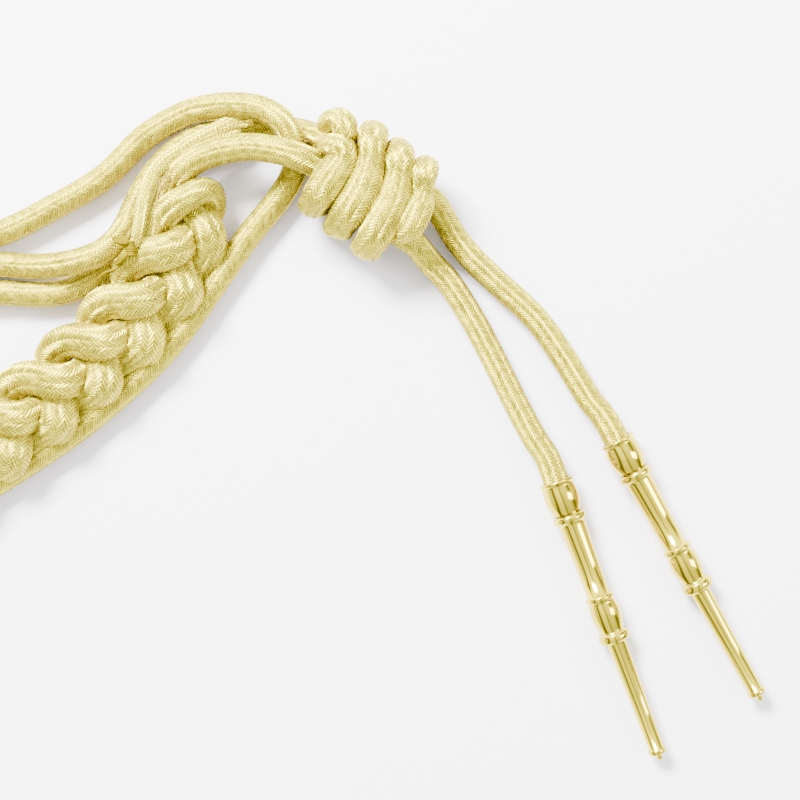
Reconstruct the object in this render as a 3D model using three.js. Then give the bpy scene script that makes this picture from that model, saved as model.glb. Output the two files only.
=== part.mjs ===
import * as THREE from 'three';

// Aiguillette: a dress cord worn from the shoulder, laid flat on a table. Millimetres, Z up.
// Bench frame while building: origin under the middle of the knot side, X to the right, Y away.

// Cords
const cordDiameter = 6.6;
const plaitedCordDiameter = 5.6;
const knotCordDiameter = 6.0;
const squeezedTailDiameter = 3.2;
const threadDiameter = 1.4;
const meshGap = 0.3;
const cordSides = 8;

// Plait of three cords
const plaitPitch = 45;
const plaitHalfWidth = 7.2;
const plaitHalfHeight = 3.55;
const plaitFlattening = 0.25;
const plaitRollDeg = -30;
const plaitStartDeg = -34;
const plaitSamplesPerPitch = 16;

// Knot: one cord wound four turns round the two lead cords
const knotMidHeight = 10.6;
const knotBackHeight = 3.1;
const knotTurnSteps = 80;

// Hollow turned metal points
const pointMouthBore = 7.4;
const pointBoreDepth = 11;
const pointSegments = 16;
const cordInsidePoint = 2;
const pointMouthHeight = 4.75;
const pointTipHeight = 3.87;

// Emptied sheath tape
const tapeThickness = 1.1;

// Shoulder end
const bindingWidth = 54;
const bindingLength = 20;
const bindingHeight = 17.5;
const bindingCorner = 4;
const bindingEdgeRound = 1.5;
const bindingCentreX = -189;
const bindingFrontY = 59.8;
const tabWidth = 20;
const tabLength = 26;
const tabThickness = 2.6;
const tabCorner = 4;
const buttonholeLength = 14;
const buttonholeWidth = 5;

const goldThread = { color: 0xe6d489, metalness: 0.55, roughness: 0.42 };
const goldMetal = { color: 0xe8c860, metalness: 1.0, roughness: 0.18 };
const yellowThread = { color: 0xf2dc1e, metalness: 0.0, roughness: 0.7 };
const goldCloth = { color: 0xdcc877, metalness: 0.3, roughness: 0.6 };

const group = new THREE.Group();
group.name = 'aiguillette';

function addNode(name, geometry, look) {
  const material = new THREE.MeshStandardMaterial(look);
  const mesh = new THREE.Mesh(geometry, material);
  mesh.name = name;
  group.add(mesh);
  return mesh;
}

function points(rows) {
  return rows.map((row) => new THREE.Vector3(row[0], row[1], row[2]));
}

function curveThrough(rows) {
  const curve = new THREE.CatmullRomCurve3(points(rows), false, 'centripetal');
  curve.arcLengthDivisions = 800;
  return curve;
}

function cordAlong(rows, diameter, steps, sides = cordSides) {
  const section = new THREE.Shape();
  for (let i = 0; i < sides; i += 1) {
    const angle = (2 * Math.PI * i) / sides;
    const x = (diameter / 2) * Math.cos(angle);
    const y = (diameter / 2) * Math.sin(angle);
    if (i === 0) section.moveTo(x, y);
    else section.lineTo(x, y);
  }
  section.closePath();
  const path = curveThrough(rows);
  return new THREE.ExtrudeGeometry(section, { steps, bevelEnabled: false, extrudePath: path });
}

// ---- Plait -------------------------------------------------------------------------------------

// Centre line of the plait on the table, from the end beside the knot to the shoulder: x, y
const plaitAxis = [
  [-51.2, 60.6], [-53.0, 50.6], [-56.2, 41.1], [-61.8, 31.3], [-69.3, 21.2],
  [-79.6, 10.9], [-90.8, 1.3], [-102.5, -8.0], [-121.8, -20.2], [-145.5, -24.2],
  [-168.0, -17.4], [-185.8, -1.2], [-194.8, 21.0], [-195.2, 40.0], [-192.5, 56.0],
];

function plaitSection(phase) {
  const roll = THREE.MathUtils.degToRad(plaitRollDeg);
  const wide = plaitHalfWidth * Math.sin(phase);
  const high = plaitHalfHeight * (Math.sin(2 * phase) + plaitFlattening * Math.sin(4 * phase));
  const across = wide * Math.cos(roll) + high * Math.sin(roll);
  const up = -wide * Math.sin(roll) + high * Math.cos(roll);
  return { across, up };
}

function plaitRestHeight() {
  let lowest = 0;
  for (let i = 0; i < 360; i += 1) {
    lowest = Math.min(lowest, plaitSection((Math.PI * i) / 180).up);
  }
  return plaitedCordDiameter / 2 - lowest;
}

function plaitStrandRows(strand, startLength) {
  const axis = curveThrough(plaitAxis.map((row) => [row[0], row[1], plaitRestHeight()]));
  const total = axis.getLength();
  const spacing = plaitPitch / plaitSamplesPerPitch;
  const rows = [];
  for (let s = startLength; s <= total; s += spacing) {
    const along = axis.getTangentAt(s / total);
    const at = axis.getPointAt(s / total);
    const turn = s / plaitPitch + strand / 3 + plaitStartDeg / 360;
    const { across, up } = plaitSection(2 * Math.PI * turn);
    rows.push([at.x + along.y * across, at.y - along.x * across, at.z + up]);
  }
  return rows;
}

// How each plait cord begins beside the knot: rows of the turned-down end (x, y, z), then how far
// along the plait the regular weave starts
const plaitStrands = [
  { name: 'plait_strand_1', weaveFrom: 8.4, steps: 84,
    lead: [[-47, 52.2, 5.5], [-46.2, 54, 8.5], [-47.5, 55, 11.8], [-50, 54.2, 13.4]] },
  { name: 'plait_strand_2', weaveFrom: 5.6, steps: 84, lead: [] },
  { name: 'plait_strand_3', weaveFrom: 14.0, steps: 80,
    lead: [[-47.5, 50.2, 3.9], [-49, 48, 3.2]] },
];

plaitStrands.forEach((strand, index) => {
  const rows = strand.lead.concat(plaitStrandRows(index, strand.weaveFrom));
  addNode(strand.name, cordAlong(rows, plaitedCordDiameter, strand.steps), goldThread);
});

// ---- Lead cords through the knot ---------------------------------------------------------------

// x, y, z
const leadCordLower = [
  [-56.4, 58.8, 11.1], [-52.5, 62.0, 11.6], [-47, 64, 12.0], [-39, 65, 13.2], [-31.7, 64, 14.6],
  [-26.1, 62.4, 14.8], [-21.4, 60.4, 13.0], [-17, 56.8, 11.0], [-11.4, 52, 10.6],
  [-4.1, 46, 10.4], [3.0, 41.5, 8.9],
];
const leadCordUpper = [
  [-66.3, 56.3, 4.9], [-64, 59.5, 5.1], [-60.5, 63.5, 5.0], [-56, 67.0, 4.6], [-50, 69.9, 4.1],
  [-43.5, 71.0, 3.6], [-36.5, 71.8, 3.4], [-30.5, 71.3, 3.4], [-26, 70.5, 3.5],
  [-22.8, 69.3, 5.2], [-19.5, 67.6, 8.8], [-16, 65.8, 10.7], [-10.3, 62.6, 10.8],
  [-3.9, 58.4, 10.9], [2.6, 54.6, 10.9], [7.9, 52.1, 8.9],
];
addNode('lead_cord_lower', cordAlong(leadCordLower, cordDiameter, 20), goldThread);
addNode('lead_cord_upper', cordAlong(leadCordUpper, cordDiameter, 28), goldThread);

// ---- Knot --------------------------------------------------------------------------------------

// One row a turn, x and y of: top edge, upper bulge, middle, lower bulge, foot, bottom edge; then
// the height of the turn's front
const knotTurns = [
  { top: [-17.0, 73.5], upper: [-14.0, 69.0], middle: [-13.8, 64.5], lower: [-16.0, 58.5],
    foot: [-19.0, 53.5], bottom: [-21.0, 51.0], front: 18.2 },
  { top: [-8.5, 70.5], upper: [-7.0, 66.0], middle: [-7.7, 61.5], lower: [-9.8, 56.0],
    foot: [-12.5, 49.5], bottom: [-15.5, 45.0], front: 17.9 },
  { top: [-1.5, 66.0], upper: [-0.5, 62.0], middle: [-1.0, 57.5], lower: [-2.5, 52.0],
    foot: [-5.5, 45.5], bottom: [-9.0, 39.5], front: 17.7 },
  { top: [4.5, 61.5], upper: [6.0, 58.0], middle: [5.5, 53.5], lower: [5.5, 50.0],
    foot: [4.0, 46.0], bottom: [1.0, 42.5], front: 17.5 },
];
const knotStart = [[-11.5, 70.2, 3.2], [-15.7, 73.6, 5.0]];
// Share of the way back under the knot, and height there
const knotBackRun = [[0.1, 5.2], [0.25, 3.2], [0.5, 3.1], [0.75, 3.2], [0.9, 5.2]];
const knotLastHeight = 15.6;

function between(a, b, share) {
  return [a[0] + (b[0] - a[0]) * share, a[1] + (b[1] - a[1]) * share];
}

function knotRows() {
  const rows = [...knotStart];
  knotTurns.forEach((turn, index) => {
    const rise = turn.front - knotMidHeight;
    rows.push([...turn.top, knotMidHeight]);
    rows.push([...between(turn.top, turn.upper, 0.45), knotMidHeight + 0.8 * rise]);
    rows.push([...turn.upper, turn.front]);
    rows.push([...turn.middle, turn.front]);
    rows.push([...turn.lower, turn.front]);
    rows.push([...turn.foot, turn.front - 1]);
    const next = knotTurns[index + 1];
    if (next) {
      rows.push([...between(turn.foot, turn.bottom, 0.6), knotMidHeight + 0.5 * rise]);
      rows.push([...turn.bottom, knotMidHeight]);
      knotBackRun.forEach(([share, height]) => {
        const level = Math.max(height, knotBackHeight);
        rows.push([...between(turn.bottom, next.top, share), level]);
      });
    } else {
      rows.push([...turn.bottom, knotLastHeight]);
    }
  });
  return rows;
}
addNode('knot_wrap', cordAlong(knotRows(), knotCordDiameter, knotTurnSteps), goldThread);

// ---- Legs and metal points ---------------------------------------------------------------------

// Mouth and tip of each metal point on the table (x, y); the rows of each leg start at the knot
const legs = [
  { leg: 'leg_left', ferrule: 'ferrule_left', mouth: [40.8, -21.1], tip: [68.1, -93.5],
    rows: [[3.8, 40.6, 8.2], [8.1, 36.0, 4.6], [12.9, 30.8, 3.5], [19.2, 21, 3.5],
      [24.8, 10.5, 3.5], [30, 0, 3.6], [35.4, -10.2, 4.0]] },
  { leg: 'leg_right', ferrule: 'ferrule_right', mouth: [56.7, -10.4], tip: [93.9, -77.2],
    rows: [[9.1, 51.0, 7.9], [11.7, 47.2, 5.4], [14.7, 42.4, 3.8], [18.9, 37.3, 3.5],
      [25.5, 31, 3.5], [36, 21, 3.5], [43.4, 10.5, 3.5], [49.9, 0, 3.8]] },
];

// Outer shape of the metal point: distance from the mouth, diameter
const pointProfile = [
  [0.0, 9.1], [0.4, 9.5], [0.8, 9.5], [1.1, 8.3], [2.4, 8.9], [4.2, 9.3], [6.2, 9.0],
  [8.0, 8.1], [9.5, 7.0], [9.7, 9.0], [10.4, 9.2], [11.2, 9.0], [11.5, 7.4], [13.2, 7.1],
  [32.1, 5.9], [32.4, 7.7], [33.4, 7.7], [33.8, 6.9], [35.2, 7.7], [36.8, 8.0],
  [38.8, 7.7], [42.4, 6.0], [42.8, 8.2], [43.8, 8.5], [44.8, 8.2], [45.1, 5.3], [75.1, 3.9],
  [75.3, 4.8], [76.4, 4.9], [76.8, 1.6], [78.2, 1.4],
];
const pointNibLength = 78.4;

function ferruleAt(mouth, tip) {
  const profile = [
    new THREE.Vector2(0, pointBoreDepth),
    new THREE.Vector2(pointMouthBore / 2, pointBoreDepth),
    new THREE.Vector2(pointMouthBore / 2, 0),
  ];
  pointProfile.forEach(([along, diameter]) => {
    profile.push(new THREE.Vector2(diameter / 2, along));
  });
  profile.push(new THREE.Vector2(0, pointNibLength));
  const geometry = new THREE.LatheGeometry(profile, pointSegments);
  const axis = tip.clone().sub(mouth).normalize();
  const turn = new THREE.Quaternion().setFromUnitVectors(new THREE.Vector3(0, 1, 0), axis);
  geometry.applyQuaternion(turn);
  geometry.translate(mouth.x, mouth.y, mouth.z);
  return geometry;
}

legs.forEach((side) => {
  const mouth = new THREE.Vector3(side.mouth[0], side.mouth[1], pointMouthHeight);
  const tip = new THREE.Vector3(side.tip[0], side.tip[1], pointTipHeight);
  const axis = tip.clone().sub(mouth).normalize();
  const before = mouth.clone().addScaledVector(axis, -cordDiameter);
  const inside = mouth.clone().addScaledVector(axis, cordInsidePoint);
  const rows = side.rows.concat([before.toArray(), inside.toArray()]);
  addNode(side.leg, cordAlong(rows, cordDiameter, 18), goldThread);
  addNode(side.ferrule, ferruleAt(mouth, tip), goldMetal);
});

// ---- Free loop cords ---------------------------------------------------------------------------

// Each from the shoulder binding: x, y, z
const loopCordOuter = [
  [-169.6, 58.9, 3.4], [-168.2, 51.5, 3.4], [-163, 46, 3.4], [-152, 42.3, 3.4],
  [-138, 40.6, 3.4], [-120, 40.9, 3.4], [-106, 43.5, 3.4], [-89.5, 51.5, 3.4],
  [-78, 58.5, 3.4], [-66.5, 69.5, 3.4], [-55, 75.4, 5.2], [-49, 76.3, 7.8], [-43, 76.5, 9.2],
  [-35.7, 75.2, 10.9], [-30.7, 72, 11.7], [-28.3, 68.2, 10.7], [-27.4, 64, 6.8],
  [-28, 59.5, 4.2], [-31.5, 53.5, 3.4], [-37.5, 44, 3.4], [-43.5, 35.5, 3.4],
  [-49, 27.5, 3.4], [-56.7, 16.6, 3.4], [-66, 6.4, 3.4], [-84.6, -10, 3.4], [-105, -25.4, 3.4],
  [-118, -32.4, 3.4], [-132, -36, 3.4], [-147, -36.8, 3.4], [-161.5, -34, 3.4],
  [-175, -28, 3.4], [-187, -19.2, 3.4], [-196.6, -8, 3.4], [-203.5, 5, 3.4], [-207.4, 19, 3.4],
  [-208.4, 33.5, 3.4], [-207.5, 47, 3.4], [-207, 58.9, 3.4],
];
const loopCordMiddle = [
  [-176.8, 58.9, 3.4], [-175.4, 49.5, 3.4], [-168.4, 40.2, 3.4], [-155, 34.4, 3.4],
  [-138, 32.8, 3.4], [-120, 33.6, 3.6], [-105, 35.5, 4.2], [-97, 35, 5.6], [-90, 35, 7.8],
  [-83, 36, 10.0], [-77.5, 38, 10.4], [-74, 41, 9.4], [-71.5, 45.5, 6.6], [-69.5, 50.5, 5.0],
  [-67.2, 54.9, 4.9],
];
const loopCordInner = [
  [-184.2, 58.9, 3.4], [-182.6, 45, 3.4], [-174.4, 33.5, 3.4], [-160, 27.2, 3.4],
  [-140, 25.4, 3.4], [-122, 26.2, 3.4], [-105, 28.2, 3.4], [-97.5, 27.8, 3.4],
  [-89.5, 28.2, 3.4], [-83, 30.3, 3.4], [-78.5, 32.8, 3.4],
];
addNode('loop_cord_outer', cordAlong(loopCordOuter, cordDiameter, 64), goldThread);
addNode('loop_cord_middle', cordAlong(loopCordMiddle, cordDiameter, 26), goldThread);
addNode('loop_cord_inner', cordAlong(loopCordInner, cordDiameter, 22), goldThread);

// ---- Sheath tape, squeezed tail and tie thread -------------------------------------------------

// x, y, z, width of the flattened sheath; the first row is its cut end
const sheathTape = [
  [-41, 71.4, 7.8, 3.4], [-44, 70.8, 8.2, 3.6], [-48.8, 69.2, 8.8, 4.0],
  [-55.2, 66.9, 9.7, 4.2], [-61.8, 63.2, 10.8, 4.4], [-65.4, 56.8, 13.6, 4.0],
  [-66.4, 49.5, 16.4, 3.4], [-66.8, 44.5, 16.8, 3.0], [-68.5, 40.4, 16.0, 2.6],
];

function flatBandAlong(rows, thickness, steps) {
  const path = curveThrough(rows);
  const widths = curveThrough(rows.map((row, i) => [i, row[3], 0]));
  const corners = [[-0.5, -0.5], [0.5, -0.5], [0.5, 0.5], [-0.5, 0.5]];
  const positions = [];
  for (let i = 0; i <= steps; i += 1) {
    const at = path.getPointAt(i / steps);
    const along = path.getTangentAt(i / steps);
    const sideways = new THREE.Vector3(along.y, -along.x, 0).normalize();
    const up = sideways.clone().cross(along);
    const width = widths.getPointAt(i / steps).y;
    corners.forEach(([a, b]) => {
      const corner = at.clone().addScaledVector(sideways, a * width);
      corner.addScaledVector(up, b * thickness);
      positions.push(corner.x, corner.y, corner.z);
    });
  }
  const faces = [0, 1, 2, 0, 2, 3];
  for (let i = 0; i < steps; i += 1) {
    for (let j = 0; j < 4; j += 1) {
      const a = 4 * i + j;
      const b = 4 * i + ((j + 1) % 4);
      faces.push(a, a + 4, b, b, a + 4, b + 4);
    }
  }
  const end = 4 * steps;
  faces.push(end, end + 2, end + 1, end, end + 3, end + 2);
  const band = new THREE.BufferGeometry();
  band.setAttribute('position', new THREE.Float32BufferAttribute(positions, 3));
  band.setIndex(faces);
  band.computeVertexNormals();
  return band;
}
addNode('sheath_tape', flatBandAlong(sheathTape, tapeThickness, 20), goldThread);

const squeezedTail = [
  [-65.2, 41.6, 12.6], [-66, 45, 13.2], [-65, 49, 13.4], [-63.3, 52.2, 13.0],
];
addNode('cord_tail', cordAlong(squeezedTail, squeezedTailDiameter, 8), goldThread);

const tieThread = [
  [-73, 40.5, 14.3], [-71, 40.2, 16.6], [-68.5, 39.2, 18.2], [-66.5, 37.8, 18.0],
  [-66.4, 36.0, 16.2], [-68.8, 34.8, 15.0], [-71, 34.6, 14.6],
];
addNode('tie_thread', cordAlong(tieThread, threadDiameter, 14), yellowThread);

// ---- Shoulder binding and buttonhole tab -------------------------------------------------------

function roundedOutline(width, length, corner) {
  const shape = new THREE.Shape();
  const x = width / 2;
  const y = length / 2;
  shape.moveTo(-x + corner, -y);
  shape.lineTo(x - corner, -y);
  shape.absarc(x - corner, -y + corner, corner, -Math.PI / 2, 0, false);
  shape.lineTo(x, y - corner);
  shape.absarc(x - corner, y - corner, corner, 0, Math.PI / 2, false);
  shape.lineTo(-x + corner, y);
  shape.absarc(-x + corner, y - corner, corner, Math.PI / 2, Math.PI, false);
  shape.lineTo(-x, -y + corner);
  shape.absarc(-x + corner, -y + corner, corner, Math.PI, 1.5 * Math.PI, false);
  return shape;
}

const bindingInset = 2 * bindingEdgeRound;
const bindingOutline = roundedOutline(
  bindingWidth - bindingInset, bindingLength - bindingInset, bindingCorner - bindingEdgeRound,
);
const binding = new THREE.ExtrudeGeometry(bindingOutline, {
  depth: bindingHeight - bindingInset,
  bevelEnabled: true,
  bevelThickness: bindingEdgeRound,
  bevelSize: bindingEdgeRound,
  bevelSegments: 2,
  curveSegments: 4,
});
const bindingCentreY = bindingFrontY + bindingLength / 2;
binding.translate(bindingCentreX, bindingCentreY, bindingEdgeRound);
addNode('shoulder_binding', binding, goldCloth);

const tabOutline = roundedOutline(tabWidth, tabLength, tabCorner);
const slot = new THREE.Path();
const slotEnd = buttonholeLength / 2 - buttonholeWidth / 2;
slot.moveTo(-buttonholeWidth / 2, -slotEnd);
slot.absarc(0, -slotEnd, buttonholeWidth / 2, Math.PI, 2 * Math.PI, false);
slot.lineTo(buttonholeWidth / 2, slotEnd);
slot.absarc(0, slotEnd, buttonholeWidth / 2, 0, Math.PI, false);
slot.closePath();
tabOutline.holes.push(slot);
const tab = new THREE.ExtrudeGeometry(tabOutline, {
  depth: tabThickness,
  bevelEnabled: false,
  curveSegments: 6,
});
const tabCentreY = bindingFrontY + bindingLength + meshGap + tabLength / 2;
tab.translate(bindingCentreX, tabCentreY, 0);
addNode('shoulder_tab', tab, goldCloth);

// ---- Origin under the middle of the pieces that are not free cords -------------------------------

const freeCords = ['leg_left', 'leg_right', 'loop_cord_outer', 'loop_cord_middle',
  'loop_cord_inner'];
const box = new THREE.Box3();
group.children.forEach((mesh) => {
  mesh.geometry.computeBoundingBox();
  if (!freeCords.includes(mesh.name)) box.union(mesh.geometry.boundingBox);
});
const middle = box.getCenter(new THREE.Vector3());
group.children.forEach((mesh) => {
  mesh.geometry.translate(-middle.x, -middle.y, -box.min.z);
});

export default group;
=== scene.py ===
"""Aiguillette: a plaited dress cord with a wound knot and two metal points, laid on a table."""

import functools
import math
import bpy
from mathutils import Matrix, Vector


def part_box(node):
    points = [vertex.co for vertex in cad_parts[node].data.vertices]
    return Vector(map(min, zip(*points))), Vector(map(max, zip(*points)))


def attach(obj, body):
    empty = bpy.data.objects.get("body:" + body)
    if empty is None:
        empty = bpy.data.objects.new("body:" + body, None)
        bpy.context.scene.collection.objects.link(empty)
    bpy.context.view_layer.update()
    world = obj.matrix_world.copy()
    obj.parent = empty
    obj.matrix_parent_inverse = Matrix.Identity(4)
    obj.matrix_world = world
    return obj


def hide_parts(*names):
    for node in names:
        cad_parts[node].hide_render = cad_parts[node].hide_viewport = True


bl_info = {
    "name": "Aiguillette",
    "version": (1, 0, 0),
    "blender": (4, 5, 0),
    "location": "View3D > Sidebar > Aiguillette",
    "description": "Builds a braided gold dress cord with its knot, points and shoulder end",
    "category": "Add Mesh",
}

import bpy
import numpy as np
from bpy.props import FloatProperty, FloatVectorProperty, IntProperty, PointerProperty
from mathutils import Vector

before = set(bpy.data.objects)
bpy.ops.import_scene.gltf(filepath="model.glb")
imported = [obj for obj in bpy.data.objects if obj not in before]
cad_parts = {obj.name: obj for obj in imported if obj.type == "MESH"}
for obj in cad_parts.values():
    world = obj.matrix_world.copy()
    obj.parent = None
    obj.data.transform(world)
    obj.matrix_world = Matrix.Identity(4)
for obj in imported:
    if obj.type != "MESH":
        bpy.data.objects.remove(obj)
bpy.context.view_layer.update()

MM = 0.001
BODY = "root"
UP = (0.0, 0.0, 1.0)

# The bench: the table point under the middle of the view, where the routes are measured from.
# The shoulder binding's middle stands at this bench place, which ties the bench to the frame.
BINDING_BENCH = (-189.0, 69.8)
binding_low, binding_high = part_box("shoulder_binding")
BENCH = np.array([
    (binding_low[0] + binding_high[0]) / 2 - BINDING_BENCH[0] * MM,
    (binding_low[1] + binding_high[1]) / 2 - BINDING_BENCH[1] * MM,
    binding_low[2],
])

# Routes, millimetres on the bench

# Points worked out between one row of a route and the next
CURVE_SAMPLES = 24

PLAIT_AXIS = [
    (-51.2, 60.6), (-53.0, 50.6), (-56.2, 41.1), (-61.8, 31.3), (-69.3, 21.2),
    (-79.6, 10.9), (-90.8, 1.3), (-102.5, -8.0), (-121.8, -20.2), (-145.5, -24.2),
    (-168.0, -17.4), (-185.8, -1.2), (-194.8, 21.0), (-195.2, 40.0), (-192.5, 56.0),
]
PLAIT_PITCH = 45.0
PLAIT_HALF_WIDTH = 7.2
PLAIT_HALF_HEIGHT = 3.55
PLAIT_FLATTENING = 0.25
PLAIT_ROLL = math.radians(-30.0)
PLAIT_START = math.radians(-34.0)
PLAIT_SOLID_RADIUS = 2.8
PLAIT_SAMPLES = 16
# How far the plait departs from an even weave: its outer crossings and its top are moved
# outwards, its inner edge bulges, and both begin some way along the plait
PLAIT_CROSSING_SHIFT = 2.6
PLAIT_TOP_SHIFT = 1.3
PLAIT_EDGE_BULGE = 2.2
PLAIT_SHIFT_FROM = 12.0
PLAIT_SHIFT_OVER = 16.0
# The first and third plait cords are one cord that turns back on itself beside the knot
STRAND_1_WEAVE_FROM = 11.0
STRAND_3_WEAVE_FROM = 14.0
STRAND_BEND = [
    (-50.6, 47.6, 3.2), (-49.4, 49.6, 4.2), (-48.8, 51.6, 6.2), (-48.9, 53.2, 8.8),
    (-50.2, 53.9, 11.6), (-52.4, 53.2, 13.2), (-54.6, 51.9, 13.8),
]
# How far a cord is pressed, from 0 for round to 1 for the plait's section: in the bend, at the
# first row of the weave, and what each further row adds
BEND_PRESS = 0.15
WEAVE_PRESS = (0.3, 0.12)
# The lower lead cord runs on as the second plait cord, which joins the weave here
STRAND_2_WEAVE_FROM = 9.5
STRAND_2_JOIN = [(-55.5, 59.8, 10.9), (-57.8, 57.4, 9.4), (-58.4, 55.0, 7.8)]

LEAD_LOWER = [
    (-52.5, 62.0, 11.6), (-47, 64, 12.0), (-39, 65, 13.2), (-31.7, 64, 14.6),
    (-26.1, 62.4, 14.8), (-21.4, 60.4, 13.0), (-17, 56.8, 11.0), (-11.4, 52, 10.6),
    (-4.1, 46, 10.4), (3.3, 41.2, 8.7),
]
LEAD_UPPER = [
    (-68.7, 52.1, 4.97), (-66.8, 55.6, 4.9), (-64, 59.5, 5.1), (-60.5, 63.5, 5.0), (-56, 67.0, 4.6),
    (-50, 69.9, 4.1), (-43.5, 71.0, 3.6), (-36.5, 71.8, 3.4), (-30.5, 71.3, 3.4),
    (-26, 70.5, 3.5), (-22.8, 69.3, 5.2), (-19.5, 67.6, 8.8), (-16, 65.8, 10.7),
    (-10.3, 62.6, 10.8), (-3.9, 58.4, 10.9), (2.6, 54.6, 10.9), (8.3, 51.9, 8.7),
]

# Each knot turn: places of its top edge, upper bulge, waist, lower bulge, foot and bottom edge,
# the width of the pressed cord at each of them, the height of its front and how far its waist dips
KNOT_TURNS = [
    {"places": [(-18.6, 65.4), (-15.2, 64.4), (-14.7, 61.6), (-17.2, 57.3), (-20.3, 52.4),
                (-22.5, 49.9)],
     "widths": (7.2, 7.6, 8.0, 8.7, 8.7, 8.0), "front": 18.4, "dip": 0.2},
    {"places": [(-6.7, 69.3), (-6.9, 65.5), (-7.2, 61.5), (-9.1, 55.1), (-13.2, 47.9),
                (-16.0, 44.5)],
     "widths": (7.6, 7.9, 7.3, 9.1, 9.1, 8.4), "front": 17.9, "dip": 0.5},
    {"places": [(0.0, 64.6), (0.0, 61.5), (-0.3, 57.9), (-1.8, 50.6), (-6.1, 42.3),
                (-8.8, 39.0)],
     "widths": (7.4, 7.7, 7.0, 9.3, 9.2, 8.4), "front": 17.7, "dip": 0.6},
    {"places": [(6.7, 60.2), (6.1, 57.5), (5.6, 53.4), (4.7, 49.1), (2.3, 44.1),
                (-0.8, 42.1)],
     "widths": (6.8, 7.0, 6.0, 7.8, 7.8, 7.0), "front": 17.2, "dip": 1.5},
]
KNOT_MID = 10.6
# Between top edge and upper bulge, and between foot and bottom edge: share of the way there and
# share of the rise to the front
KNOT_RISE = (0.45, 0.8)
KNOT_FALL = (0.6, 0.5)
KNOT_FOOT_DROP = 1.0
# The knot's axis runs on past its first and last turn by this share of its length
KNOT_AXIS_REACH = 0.6
KNOT_ARCH_WIDTH = 0.92
# The wrapping cord first makes a small arch over the upper corner and dives under its next turn
KNOT_FIRST_ARCH = [
    (-17.3, 67.6, 5.0), (-18.0, 69.3, 7.0), (-18.1, 70.8, 10.5), (-16.9, 71.8, 14.0),
    (-15.3, 71.7, 16.2), (-14.2, 69.9, 17.3), (-14.0, 67.8, 16.5), (-14.9, 65.3, 13.0),
]
KNOT_START = [(-15.7, 60.8, 5.0), (-18.4, 62.1, 4.6), (-19.8, 63.4, 6.5)]
# Share of the way back under the knot, height there
KNOT_BACK = [(0.1, 5.4), (0.25, 3.5), (0.5, 3.4), (0.75, 3.5), (0.9, 5.4)]
KNOT_BACK_WIDTH = 7.0
KNOT_END_HEIGHT = 12.0

LEGS = {
    "left": {
        "rows": [
            (-0.6, 44.1, 9.8), (3.3, 41.2, 8.7), (8.1, 36.0, 4.6), (12.9, 30.8, 3.5), (19.2, 21, 3.5),
            (24.8, 10.5, 3.5), (30, 0, 3.6), (35.4, -10.2, 4.0),
        ],
        "mouth": (40.8, -21.1, 4.75),
        "tip": (68.1, -93.5, 3.87),
    },
    "right": {
        "rows": [
            (5.2, 53.5, 10.2), (8.3, 51.9, 8.7), (11.7, 47.2, 5.4), (14.7, 42.4, 3.8), (18.9, 37.3, 3.5),
            (25.5, 31, 3.5), (36, 21, 3.5), (43.4, 10.5, 3.5), (49.9, 0, 3.8),
        ],
        "mouth": (56.7, -10.4, 4.75),
        "tip": (93.9, -77.2, 3.87),
    },
}

# The last two places of each leg cord, measured from the mouth along its metal point
LEG_END = (-6.6, 2.0)

LOOP_OUTER = [
    (-169.6, 58.9, 3.4), (-168.2, 51.5, 3.4), (-163, 46, 3.4), (-152, 42.3, 3.4),
    (-138, 40.6, 3.4), (-120, 40.9, 3.4), (-106, 43.5, 3.4), (-89.5, 51.5, 3.4),
    (-78, 58.5, 3.4), (-66.5, 69.5, 3.4), (-55, 75.4, 5.2), (-49, 76.3, 7.8),
    (-43, 76.5, 9.2), (-35.7, 75.2, 10.9), (-30.7, 72, 11.7), (-28.3, 68.2, 10.7),
    (-27.4, 64, 6.8), (-28, 59.5, 4.2), (-31.5, 53.5, 3.4), (-37.5, 44, 3.4),
    (-43.5, 35.5, 3.4), (-49, 27.5, 3.4), (-56.7, 16.6, 3.4), (-66, 6.4, 3.4),
    (-84.8, -9.6, 3.4), (-106.2, -23.6, 3.4), (-118.8, -30.6, 3.4), (-132.4, -35.0, 3.4),
    (-147, -36.8, 3.4), (-161.5, -34, 3.4), (-175, -28, 3.4), (-187, -19.2, 3.4),
    (-196.6, -8, 3.4), (-203.5, 5, 3.4), (-207.4, 19, 3.4), (-208.4, 33.5, 3.4),
    (-207.5, 47, 3.4), (-207, 58.9, 3.4),
]
# The outer loop cord lies this much nearer the plait than its solid, from one row to another
LOOP_OUTER_SNUG_ROWS = (19, 34)
LOOP_OUTER_SNUG = 1.4
LOOP_MIDDLE = [
    (-176.8, 58.9, 3.4), (-175.4, 49.5, 3.4), (-168.4, 40.2, 3.4), (-155, 34.4, 3.4),
    (-138, 32.8, 3.4), (-120, 33.6, 3.6), (-105, 35.5, 4.2), (-97, 35, 5.6), (-90, 35, 7.8),
    (-83, 36, 10.0), (-77.5, 38, 10.4), (-74, 41, 9.4), (-71.5, 45.5, 6.6), (-69.5, 50.5, 5.0),
    (-66.8, 55.6, 4.9),
]
LOOP_INNER = [
    (-184.2, 58.9, 3.4), (-182.6, 45, 3.4), (-174.4, 33.5, 3.4), (-160, 27.2, 3.4),
    (-140, 25.4, 3.4), (-122, 26.2, 3.4), (-105, 28.2, 3.4), (-97.5, 27.8, 3.4),
    (-89.5, 28.2, 3.4), (-82.8, 30.5, 3.4), (-78.3, 33.1, 3.5), (-75.4, 35.2, 3.8),
]

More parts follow.
